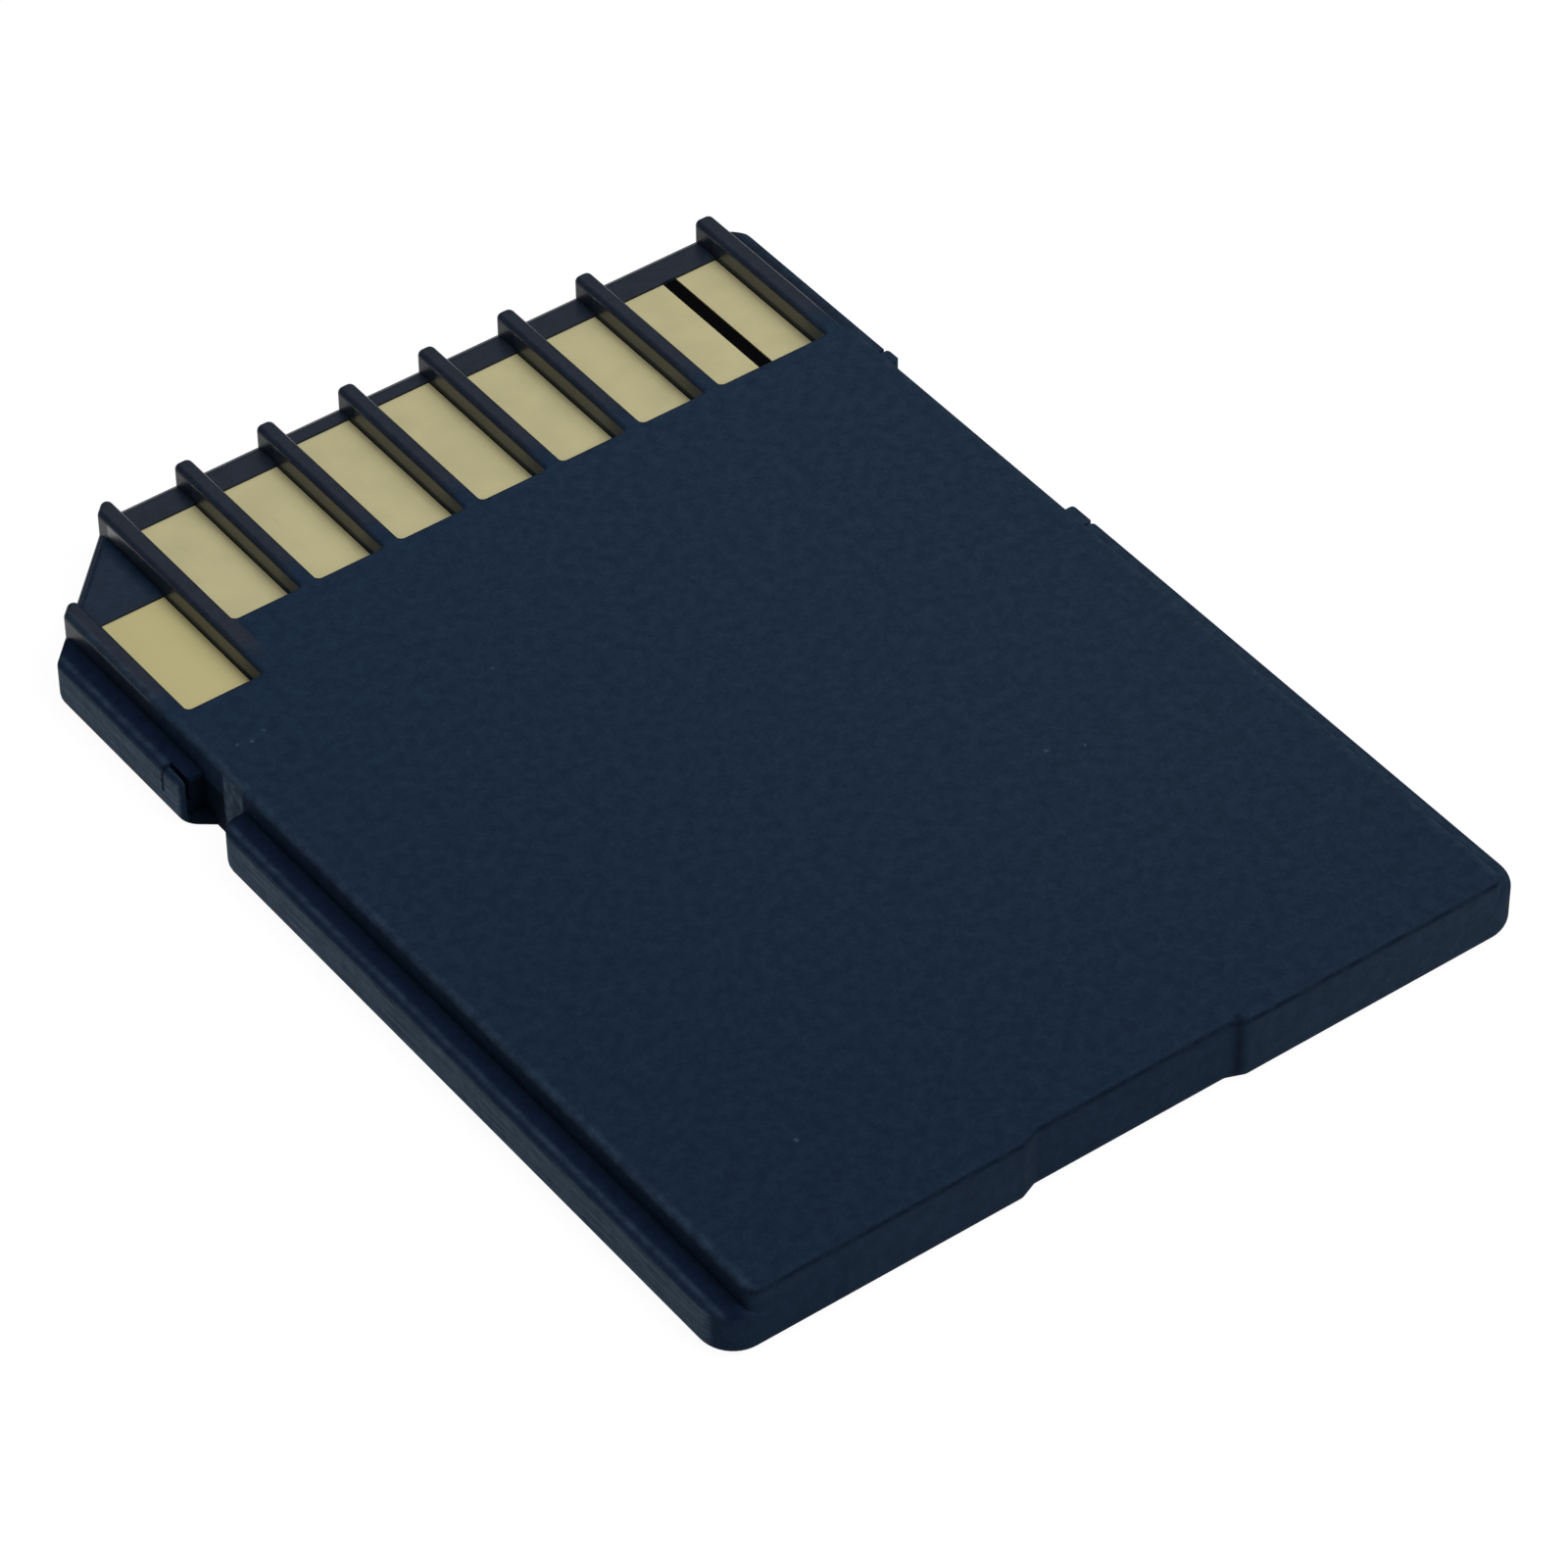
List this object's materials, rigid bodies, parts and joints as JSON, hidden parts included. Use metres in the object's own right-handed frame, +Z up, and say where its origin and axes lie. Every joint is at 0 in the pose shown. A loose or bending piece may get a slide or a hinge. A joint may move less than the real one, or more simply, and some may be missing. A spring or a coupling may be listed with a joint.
{
  "type": "sd memory card",
  "caption": "Flat memory card with a cut corner, gold contacts in ribbed windows at one end, stepped side rails, a side notch and a small write-protect slider.",
  "frame": {"origin": "centre of the card's outline on the label face, which lies on the table", "axes": "+Y along the card towards the contact end, +X across it towards the write-protect slider, +Z up out of the contact face"},
  "size_m": [0.024, 0.032, 0.0021],
  "materials": {
    "shell": "fine matte texture",
    "slider": "matte",
    "label": "satin film, unprinted",
    "gold": "satin plated",
    "board": "dark solder mask",
    "chip": "moulded epoxy",
    "lead": "tinned",
    "capacitor": "ceramic",
    "resistor": "ceramic"
  },
  "bodies": {
    "card": {"contact_side_shell": "shell", "label_side_shell": "shell", "label": "label", "circuit_board": "board", "flash_chip": "chip", "controller_chip": "chip", "flash_chip_leads": "lead", "contact_1": "gold", "contact_2": "gold", "contact_3": "gold", "contact_4": "gold", "contact_5": "gold", "contact_6": "gold", "contact_7": "gold", "contact_8": "gold", "contact_9": "gold", "capacitor_1": "capacitor", "capacitor_2": "capacitor", "capacitor_3": "capacitor", "resistor_array_1": "resistor", "resistor_array_2": "resistor"},
    "slider": {"write_protect_slider": "slider"}
  },
  "joints": [
    {"name": "write_protect_slide", "type": "slide", "parent": "card", "child": "slider", "axis": [0, 1, 0], "range_m": [-0.003, 0]}
  ]
}
